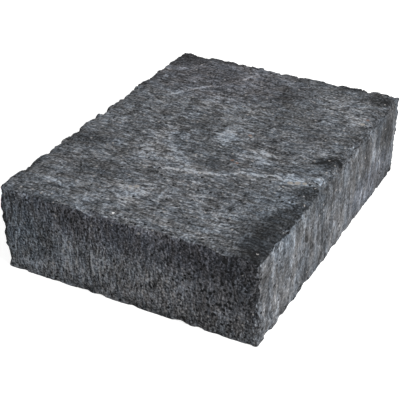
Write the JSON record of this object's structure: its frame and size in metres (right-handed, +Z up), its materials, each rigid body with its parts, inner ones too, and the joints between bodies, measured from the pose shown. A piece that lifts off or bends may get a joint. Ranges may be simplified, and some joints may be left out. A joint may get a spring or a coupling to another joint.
{
  "type": "wall coping block",
  "caption": "Rectangular concrete coping block with rounded, chipped arrises and a flat bed, laid along the top of a garden or retaining wall to cap it.",
  "frame": {"origin": "centre of the bed face, at the height that the block rests on", "axes": "+X along the wall, the block's length; +Y across the wall, its depth; +Z up, from the bed to the top"},
  "size_m": [0.4, 0.3, 0.1],
  "materials": {
    "concrete": "matt charcoal-grey dry-cast concrete, streaked and speckled, with pale bloom"
  },
  "bodies": {
    "root": {"coping_block": "concrete"}
  },
  "joints": []
}
